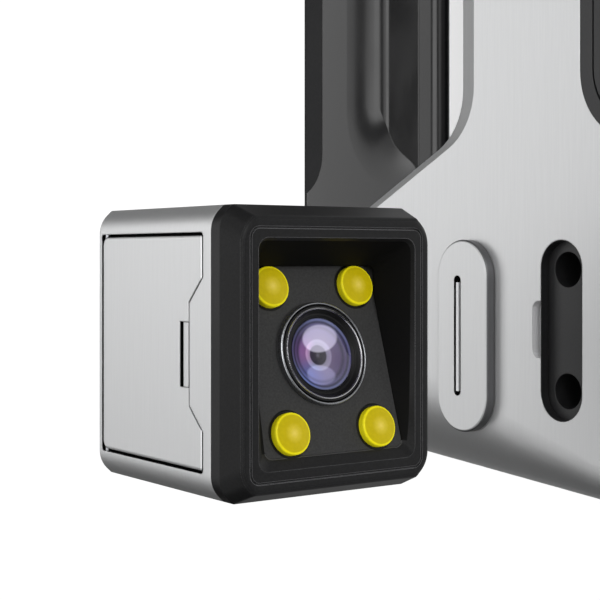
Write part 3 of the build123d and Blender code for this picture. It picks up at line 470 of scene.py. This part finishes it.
def moulded(name, colour, roughness, grain_size, depth, gloss=0.5, strength=0.25, coat=0.0):
    """A spark-eroded plastic whose grain has that size."""
    material, tree, shader = finish(name, colour, roughness, Coat_Weight=coat, Specular_IOR_Level=gloss)
    lumps = 1 / grain_size
    grain = noise(tree, (lumps, lumps, lumps), 2.0)
    cloud = noise(tree, (lumps / 40, lumps / 40, lumps / 40), 2.0)
    tree.links.new(between(tree, cloud, roughness - 0.03, roughness + 0.03), shader.inputs["Roughness"])
    darker = [channel * 0.85 for channel in colour]
    lighter = [channel * 1.15 for channel in colour]
    tree.links.new(shade(tree, grain, darker, lighter), shader.inputs["Base Color"])
    soft_edges(tree, shader, relief(tree, shader, grain, depth, strength), 0.2 * mm)
    finishes[name] = material
    return tree, shader


moulded("grip_black", (0.007, 0.007, 0.0075), 0.2, 0.25 * mm, 0.003 * mm, gloss=0.5)
moulded("palm_rubber", (0.018, 0.018, 0.019), 0.6, 0.35 * mm, 0.02 * mm, gloss=0.15)
moulded("front_black", (0.016, 0.016, 0.017), 0.42, 0.3 * mm, 0.01 * mm)
moulded("window_black", (0.006, 0.006, 0.007), 0.08, 2.0 * mm, 0.002 * mm, strength=0.05, coat=0.6)
tree, shader = moulded("module_black", (0.016, 0.016, 0.0165), 0.32, 0.25 * mm, 0.008 * mm, gloss=0.12)
plate_low, plate_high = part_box("lamp_plate")
hood_shade_low = (face_low.x + 2.4 * mm, face_low.y + 0.6 * mm, plate_low.z + 2 * mm)
hood_shade_high = (face_high.x - 2.4 * mm, plate_high.y, face_high.z - 3.6 * mm)
# Painted highlight: a thin lighter line along the module's sharp edges.
painted_edge_highlights(tree, shader, 0.14 * mm, (0.14, 0.14, 0.145))
# Painted shade: the inside of the hood is darker and duller than the rest of the module.
painted(
    tree, shader, inside(tree, hood_shade_low, hood_shade_high),
    Base_Color=(0.007, 0.007, 0.007), Roughness=0.7, Specular_IOR_Level=0.06,
)
moulded("plate_black", (0.036, 0.036, 0.036), 0.55, 0.25 * mm, 0.02 * mm, gloss=0.2)
moulded("barrel_black", (0.006, 0.006, 0.0065), 0.4, 0.2 * mm, 0.01 * mm, gloss=0.3)
moulded("key_dark", (0.03, 0.03, 0.032), 0.4, 0.3 * mm, 0.01 * mm)
print("plastics ready")

# %% [markdown]
# ## Metals
# Turned metal shows rings and machined plate shows long strokes. Both are the stretched noise again.

# %% Metals


def machined(name, colour, roughness, stretch):
    """Bare metal with tool marks."""
    material, tree, shader = finish(name, colour, roughness, Metallic=1.0)
    marks = noise(tree, stretch, 2.0)
    tree.links.new(between(tree, marks, roughness - 0.06, roughness + 0.08), shader.inputs["Roughness"])
    relief(tree, shader, marks, 0.01 * mm, 0.2)
    finishes[name] = material
    return material


machined("lens_metal", (0.78, 0.78, 0.80), 0.2, (4000, 4000, 4000))
machined("plain_aluminium", (0.6, 0.61, 0.63), 0.4, (200, 3000, 3000))
machined("brass_insert", (0.72, 0.55, 0.25), 0.3, (3000, 3000, 9000))
machined("screw_steel", (0.42, 0.43, 0.45), 0.3, (5000, 5000, 5000))
print("metals ready")

# %% [markdown]
# ## Lenses, lamps and boards
# Coated glass looks violet because its coating sends back a little violet and blue light. A thin
# film on a clear shader does just that. The lamps are a yellow phosphor under clear resin.

# %% Glass, resin, diffuser and board
glass, tree, shader = finish(
    "clear_lens", (0.9, 0.92, 1.0), 0.02, Transmission_Weight=1.0, IOR=1.6,
    Thin_Film_Thickness=520.0, Thin_Film_IOR=1.9,
)
smears = noise(tree, (400, 400, 400), 2.0)
tree.links.new(between(tree, smears, 0.0, 0.04), shader.inputs["Roughness"])
finishes["clear_lens"] = glass

resin, tree, shader = finish("lamp_yellow", (0.55, 0.46, 0.01), 0.3, Coat_Weight=0.8, Coat_Roughness=0.08)
speckle = noise(tree, (2500, 2500, 2500), 3.0)
tree.links.new(shade(tree, speckle, (0.44, 0.37, 0.005), (0.60, 0.52, 0.015)), shader.inputs["Base Color"])
relief(tree, shader, speckle, 0.02 * mm, 0.1)
finishes["lamp_yellow"] = resin

diffuser, tree, shader = finish("ring_white", (0.85, 0.86, 0.88), 0.25, Coat_Weight=0.4)
frost = noise(tree, (1500, 1500, 1500), 2.0)
tree.links.new(shade(tree, frost, (0.80, 0.81, 0.83), (0.88, 0.89, 0.91)), shader.inputs["Base Color"])
finishes["ring_white"] = diffuser

board, tree, shader = finish("board_green", (0.02, 0.12, 0.06), 0.35)
tracks = noise(tree, (900, 120, 900), 1.0)
tree.links.new(shade(tree, tracks, (0.015, 0.10, 0.05), (0.04, 0.20, 0.10)), shader.inputs["Base Color"])
finishes["board_green"] = board
print("finishes:", sorted(finishes))

# %% [markdown]
# ## Coats that follow a radius
# The lens and the lamps are round, so their colours change from the middle outwards. A radial coat
# reads how far a point is from the piece's own axis and turns that into a colour. The lens adds two
# pale patches, which are painted reflections like the soft ones inside a real lens, and a tint that drifts
# across it.

# %% Radial coats


def radial(tree, radius, stops):
    """A colour by distance from the piece's own axis, as a share of radius."""
    place = tree.nodes.new("ShaderNodeTexCoord")
    flat = tree.nodes.new("ShaderNodeVectorMath")
    length = tree.nodes.new("ShaderNodeVectorMath")
    ramp = tree.nodes.new("ShaderNodeValToRGB")
    flat.operation = "MULTIPLY"
    flat.inputs[1].default_value = (1 / radius, 1 / radius, 0)
    length.operation = "LENGTH"
    while len(ramp.color_ramp.elements) < len(stops):
        ramp.color_ramp.elements.new(0.5)
    for element, (share, colour) in zip(ramp.color_ramp.elements, stops):
        element.position = share
        element.color = (*colour, 1)
    tree.links.new(place.outputs["Object"], flat.inputs[0])
    tree.links.new(flat.outputs["Vector"], length.inputs[0])
    tree.links.new(length.outputs["Value"], ramp.inputs["Fac"])
    return ramp.outputs["Color"]


def patch(tree, centre, radii, softness):
    """1 inside an oval on the piece's own face, fading to 0 over its soft edge."""
    place = tree.nodes.new("ShaderNodeTexCoord")
    shift = tree.nodes.new("ShaderNodeMapping")
    length = tree.nodes.new("ShaderNodeVectorMath")
    fade = tree.nodes.new("ShaderNodeMapRange")
    shift.inputs["Location"].default_value = (-centre[0] / radii[0], -centre[1] / radii[1], 0)
    shift.inputs["Scale"].default_value = (1 / radii[0], 1 / radii[1], 0)
    length.operation = "LENGTH"
    fade.inputs["From Min"].default_value = 1.0
    fade.inputs["From Max"].default_value = 1.0 - softness
    tree.links.new(place.outputs["Object"], shift.inputs["Vector"])
    tree.links.new(shift.outputs["Vector"], length.inputs[0])
    tree.links.new(length.outputs["Value"], fade.inputs["Value"])
    return fade.outputs["Result"]


def blend(tree, kind, factor, first, second):
    """Two colours mixed; second may be a colour or a socket."""
    mix = tree.nodes.new("ShaderNodeMixRGB")
    mix.blend_type = kind
    for socket, value in zip(mix.inputs, (factor, first, second)):
        if isinstance(value, bpy.types.NodeSocket):
            tree.links.new(value, socket)
        else:
            socket.default_value = value if isinstance(value, float) else (*value, 1)
    return mix.outputs[0]


print("coat helpers ready")

# %% [markdown]
# The lamps are palest in the middle, where the light chip sits, and brightest in a thin ring at the rim.

# %% Lamp resin
lamp_radius = 2.52 * mm
resin, tree, shader = finish(
    "lamp_resin", (0.5, 0.42, 0.01), 0.5, Specular_IOR_Level=0.15, Coat_Weight=0.1,
)
lamp_stops = [
    (0.0, (0.78, 0.62, 0.10)), (0.25, (0.66, 0.52, 0.03)), (0.5, (0.55, 0.43, 0.002)),
    (0.86, (0.55, 0.44, 0.002)), (0.93, (1.0, 0.88, 0.01)), (1.0, (0.95, 0.84, 0.01)),
]
lamp_colour = radial(tree, lamp_radius, lamp_stops)
speckle = shade(tree, noise(tree, (2500, 2500, 2500), 3.0), (0.92, 0.92, 0.92), (1, 1, 1))
tree.links.new(blend(tree, "MULTIPLY", 1.0, lamp_colour, speckle), shader.inputs["Base Color"])

print("lamp stops:", len(lamp_stops))

# %% [markdown]
# The lens has a dark pupil, a pale ring round it, and darker rings towards its rim.

# %% Lens coat
cap_radius = 4.45 * mm
coat, tree, shader = finish("lens_coat_and_painted_reflections", (0.2, 0.2, 0.3), 0.4, Coat_Weight=0.5, Coat_Roughness=0.1)
coat_stops = [
    (0.0, (0.10, 0.09, 0.13)), (0.09, (0.012, 0.010, 0.02)), (0.26, (0.016, 0.012, 0.03)),
    (0.30, (0.30, 0.28, 0.38)), (0.41, (0.40, 0.37, 0.50)), (0.46, (0.17, 0.13, 0.24)),
    (0.68, (0.17, 0.14, 0.27)), (0.76, (0.06, 0.05, 0.12)), (0.84, (0.16, 0.15, 0.30)),
    (0.90, (0.03, 0.03, 0.07)), (0.96, (0.22, 0.25, 0.48)), (1.0, (0.02, 0.02, 0.04)),
]
colour = radial(tree, cap_radius, coat_stops)
left_tint = patch(tree, (-2.6 * mm, 0.6 * mm), (2.6 * mm, 2.4 * mm), 0.9)
low_tint = patch(tree, (-1.8 * mm, -2.4 * mm), (2.4 * mm, 2.0 * mm), 0.9)
right_tint = patch(tree, (3.4 * mm, -0.8 * mm), (2.6 * mm, 3.4 * mm), 0.9)
top_painted_reflection = patch(tree, (0.3 * mm, 2.0 * mm), (2.7 * mm, 1.75 * mm), 0.12)
low_painted_reflection = patch(tree, (-0.3 * mm, -2.5 * mm), (2.3 * mm, 1.35 * mm), 0.15)
colour = blend(tree, "MULTIPLY", left_tint, colour, (1.7, 0.95, 1.35))
colour = blend(tree, "MULTIPLY", low_tint, colour, (0.75, 1.15, 1.6))
colour = blend(tree, "MULTIPLY", right_tint, colour, (0.6, 0.42, 0.7))
# Painted reflections: two pale patches added onto the coat.
colour = blend(tree, "ADD", top_painted_reflection, colour, (0.50, 0.48, 0.58))
colour = blend(tree, "ADD", low_painted_reflection, colour, (0.20, 0.20, 0.30))
tree.links.new(colour, shader.inputs["Base Color"])
print("coat stops:", len(coat_stops))

# %% [markdown]
# ## Turned pieces for the lens and lamps
# Lathe work gives the smooth rounded rims that catch a thin line of light. Each piece is drawn as half
# an outline, radius and height, and spun round. Its place comes from the CAD parts it stands for.

# %% Find the lens's axis
ring_low, ring_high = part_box("lens_ring")
tilt = math.radians(14.5)
outward = Vector((0, -math.cos(tilt), math.sin(tilt)))
across = Vector((1, 0, 0))
upward = outward.cross(across)
ring_height = 0.9 * mm
lens_centre = (ring_low + ring_high) / 2 - outward * ring_height / 2
lens_frame = Matrix((across, upward, outward)).transposed().to_4x4()
lens_frame.translation = lens_centre


print("lens centre", [round(value / mm, 2) for value in lens_centre], "mm")

# %% [markdown]
# The spinner takes (radius, height) pairs in millimetres, closes the seam, and stands the piece on the
# lens's axis. Every piece it makes rides on the camera module.

# %% A helper that spins an outline


def turned(name, rings, material, place, slot, *nodes):
    """A piece spun from (radius, height) rings in millimetres, standing at place."""
    shape = bmesh.new()
    points = [shape.verts.new((radius * mm, 0, height * mm)) for radius, height in rings]
    edges = [shape.edges.new(pair) for pair in zip(points, points[1:])]
    bmesh.ops.spin(
        shape, geom=points + edges, axis=(0, 0, 1), cent=(0, 0, 0), angle=math.tau, steps=96,
        use_merge=True,
    )
    bmesh.ops.remove_doubles(shape, verts=shape.verts, dist=0.0005 * mm)
    bmesh.ops.recalc_face_normals(shape, faces=shape.faces)
    mesh = bpy.data.meshes.new(name)
    shape.to_mesh(mesh)
    shape.free()
    for face in mesh.polygons:
        face.use_smooth = True
    mesh.set_sharp_from_angle(angle=math.radians(35))
    mesh.materials.append(material)
    piece = bpy.data.objects.new(name, mesh)
    scene.collection.objects.link(piece)
    piece.matrix_world = lens_frame @ Matrix.Translation(place)
    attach(piece, "camera_module")
    if nodes:
        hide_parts(*nodes)
    return piece


print("spinner ready")

# %% [markdown]
# Each lamp is a low dome that stands in a thin black collar on the plate.

# %% Spin the lamps
lamp_rings = [
    (0, 1.22), (0.9, 1.19), (1.7, 1.10), (2.1, 1.02), (2.3, 0.97), (2.44, 0.89), (2.52, 0.76),
    (2.52, -1.3), (0, -1.3),
]
collar_rings = [(2.52, 0.0), (2.52, 0.05), (2.84, 0.05), (2.84, 0.0), (2.52, 0.0)]
for number in (1, 2, 3, 4):
    low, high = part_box(f"lamp_{number}")
    offset = (low + high) / 2 - lens_centre
    place = Vector((offset.dot(across), offset.dot(upward), 0))
    turned(f"lamp_dome_{number}", lamp_rings, resin, place, "lamp_yellow", f"lamp_{number}")
    turned(f"lamp_collar_{number}", collar_rings, finishes["barrel_black"], place, "barrel_black")

print("lamps spun:", 4)

# %% [markdown]
# The lens is a steel rim, a brighter rim within it, a stepped black cone, and the coated cap.

# %% Spin the lens
middle = Vector((0, 0, 0))
outer_rings = [
    (6.05, 0.0), (6.05, 0.66), (6.1, 0.74), (6.17, 0.77), (6.25, 0.76), (6.34, 0.68), (6.37, 0.55),
    (6.37, 0.0), (6.05, 0.0),
]
turned("lens_rim", outer_rings, finishes["screw_steel"], middle, "lens_metal", "lens_ring")
inner_rings = [
    (5.40, 0.1), (5.42, 0.76), (5.46, 0.85), (5.53, 0.9), (5.62, 0.87), (5.68, 0.78), (5.7, 0.5),
    (5.7, 0.1), (5.40, 0.1),
]
turned("lens_inner_rim", inner_rings, finishes["lens_metal"], middle, "lens_metal", "lens_retainer")
cone_rings = [
    (5.36, 0.72), (5.1, 0.5), (5.0, 0.34), (4.75, 0.3), (4.7, 0.2), (4.5, 0.14), (4.46, -0.4),
    (5.3, -0.4),
]
turned("lens_cone", cone_rings, finishes["barrel_black"], middle, "barrel_black")
cap_rings = [(0, -0.75), (0.9, -0.70), (1.8, -0.58), (2.7, -0.38), (3.5, -0.14), (4.1, 0.06), (4.45, 0.16)]
turned("lens_cap", cap_rings, coat, middle, "clear_lens", "lens_glass")
print("lens pieces:", 4)

# %% [markdown]
# ## A clear front element
# The front glass is a thin clear shell over the coat. Glass that bends light would dim the coat under
# it, so the shell only adds reflections: clear where we look straight in, mirror-like at its edge.

# %% Add the clear shell
shell, tree, shader = finish("clear_shell", (1, 1, 1), 0.03)
tree.nodes.remove(shader)
clear = tree.nodes.new("ShaderNodeBsdfTransparent")
mirror = tree.nodes.new("ShaderNodeBsdfGlossy")
edge_on = tree.nodes.new("ShaderNodeFresnel")
sheen = tree.nodes.new("ShaderNodeMixShader")
mirror.inputs["Roughness"].default_value = 0.04
edge_on.inputs["IOR"].default_value = 1.6
tree.links.new(edge_on.outputs["Fac"], sheen.inputs[0])
tree.links.new(clear.outputs[0], sheen.inputs[1])
tree.links.new(mirror.outputs[0], sheen.inputs[2])
tree.links.new(sheen.outputs[0], tree.nodes["Material Output"].inputs["Surface"])
shell_rings = [(0, 0.86), (0.9, 0.83), (1.8, 0.74), (2.7, 0.59), (3.5, 0.40), (4.1, 0.26), (4.45, 0.17)]
turned("lens_shell", shell_rings, shell, middle, "clear_lens")
print("shell ready")

# %% [markdown]
# ## Liners, the slot's highlight bar and the strip's glowing face
# The dock's recess has a black skin on its wall, thinner than the running gap of what goes in, so we
# add it as a thin round-ended band. A white bar in the port cover's slot is a painted highlight. The
# silver strip on the grip's front gets a pale face that gives off a little light of its own, as painted
# light, because it stands in the shade.

# %% Helpers for thin bands and slabs


def slot_outline(half_width, half_height, steps=16):
    """Points round a tall round-ended outline, as (across, up)."""
    straight = half_height - half_width
    points = []
    for step in range(2 * steps + 2):
        turn = math.pi * (step if step <= steps else step - 1) / steps
        lift = straight if step <= steps else -straight
        points.append((half_width * math.cos(turn), half_width * math.sin(turn) + lift))
    return points


def band(name, centre, outer, thickness, depth, material, body):
    """A thin round-ended band that runs from centre along +X by depth."""
    half_width, half_height = outer
    rings = []
    for inset, shift in ((0, 0), (0, depth), (thickness, depth), (thickness, 0)):
        points = slot_outline(half_width - inset, half_height - inset)
        rings.append([(centre.x + shift, centre.y + y, centre.z + z) for y, z in points])
    count = len(rings[0])
    faces = []
    for ring in range(4):
        for step in range(count):
            after = (step + 1) % count
            first, second = ring * count, ((ring + 1) % 4) * count
            faces.append((first + step, first + after, second + after, second + step))
    mesh = bpy.data.meshes.new(name)
    mesh.from_pydata([point for ring in rings for point in ring], [], faces)
    mesh.materials.append(material)
    piece = bpy.data.objects.new(name, mesh)
    scene.collection.objects.link(piece)
    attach(piece, body)
    return piece


def slab(name, low, high, material, body):
    """A plain box from its low to its high corner."""
    mesh = bpy.data.meshes.new(name)
    shape = bmesh.new()
    size = Vector(high) - Vector(low)
    place = Matrix.Translation((Vector(low) + Vector(high)) / 2) @ Matrix.Diagonal((*size, 1))
    bmesh.ops.create_cube(shape, size=1, matrix=place)
    shape.to_mesh(mesh)
    shape.free()
    mesh.materials.append(material)
    piece = bpy.data.objects.new(name, mesh)
    scene.collection.objects.link(piece)
    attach(piece, body)
    return piece


print("band and slab ready")

# %% [markdown]
# The places come from the CAD boxes. The dock's width and height are repeated from the CAD source in
# millimetres, and the thicknesses and gaps are chosen here.

# %% Add the liner, bar and strip face
strip_low, strip_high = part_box("grip_strip")
# Painted light: the strip's face glows a little to stand for light falling on it.
strip_glow_silver, tree, shader = finish("glowing_strip_silver", (0.85, 0.85, 0.86), 0.4, Emission_Strength=0.55)
shader.inputs["Emission Color"].default_value = (1, 1, 1, 1)
grain = noise(tree, (3200, 3200, 120), 4.0)
tree.links.new(between(tree, grain, 0.36, 0.44), shader.inputs["Roughness"])
dock_width = 8.9
dock_height = 28.6
skin_gap = 0.01
skin = 0.1 * mm
skin_depth = 1.5 * mm
dock_half = Vector((dock_width / 2 - skin_gap, dock_height / 2 - skin_gap)) * mm
dock_centre = Vector((cover_low.x + 0.05 * mm, dock_middle.y, dock_middle.z))
band(
    "dock_liner", dock_centre, dock_half, skin, skin_depth, finishes["front_black"],
    "scanner",
)
# Painted highlight: a white bar that stands for a bright line inside the slot.
highlight_bar_low = (port_low.x + 0.2 * mm, slot_y - 0.1 * mm, port_middle.z - 9.4 * mm)
highlight_bar_high = (port_low.x + 1.2 * mm, slot_y + 0.5 * mm, port_middle.z + 9.0 * mm)
slab("slot_highlight_bar", highlight_bar_low, highlight_bar_high, finishes["ring_white"], "port_cover")
face_thickness = 0.08 * mm
face_back = strip_low.y - 0.01 * mm
slab(
    "strip_face", (strip_low.x, face_back - face_thickness, strip_low.z),
    (strip_high.x, face_back, strip_high.z), strip_glow_silver, "scanner",
)
print("dock middle", [round(value / mm, 2) for value in dock_middle], "mm")

# %% [markdown]
# ## Dress the CAD parts
# The CAD record says which finish each part has, so a loop over it dresses all of them.

# %% Give each part its finish
for subpart in frame["record"]["subparts"]:
    mesh = nodes[subpart["node"]].data
    mesh.materials.clear()
    mesh.materials.append(finishes[subpart["material_slot"]])
